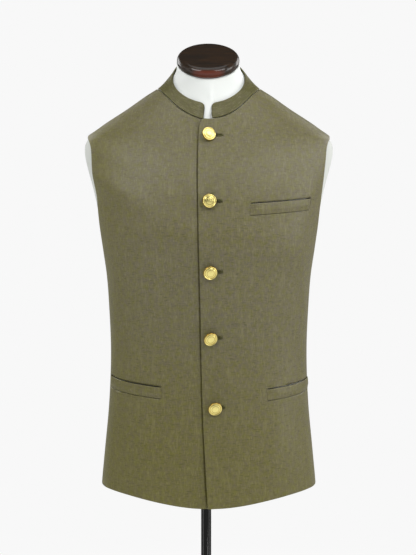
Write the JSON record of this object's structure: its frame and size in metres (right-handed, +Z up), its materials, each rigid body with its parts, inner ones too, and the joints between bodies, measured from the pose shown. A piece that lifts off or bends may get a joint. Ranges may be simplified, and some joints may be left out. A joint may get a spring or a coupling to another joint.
{
  "type": "nehru jacket on a dress form",
  "caption": "Sleeveless buttoned nehru jacket with a stand collar and welt pockets, on a limbless dress form with a round stand.",
  "frame": {"origin": "on the floor, under the middle of the bounding box, which is the middle of the dress form", "axes": "+Z up, -Y to the front of the jacket, +X to the wearer's left"},
  "size_m": [0.423, 0.34, 1.0759],
  "materials": {
    "olive_shot_cotton": "matte two-tone weave",
    "gilt_brass": "polished",
    "white_form_jersey": "matte",
    "lacquered_wood": "gloss lacquer",
    "black_enamelled_iron": "gloss enamel"
  },
  "bodies": {
    "root": {"front_left": "olive_shot_cotton", "front_right": "olive_shot_cotton", "back": "olive_shot_cotton", "collar": "olive_shot_cotton", "welt_chest": "olive_shot_cotton", "welt_left": "olive_shot_cotton", "welt_right": "olive_shot_cotton", "button_1": "gilt_brass", "button_2": "gilt_brass", "button_3": "gilt_brass", "button_4": "gilt_brass", "button_5": "gilt_brass", "form_body": "white_form_jersey", "neck_cap": "lacquered_wood", "pole_socket": "black_enamelled_iron", "pole": "black_enamelled_iron", "base": "black_enamelled_iron"}
  },
  "joints": []
}
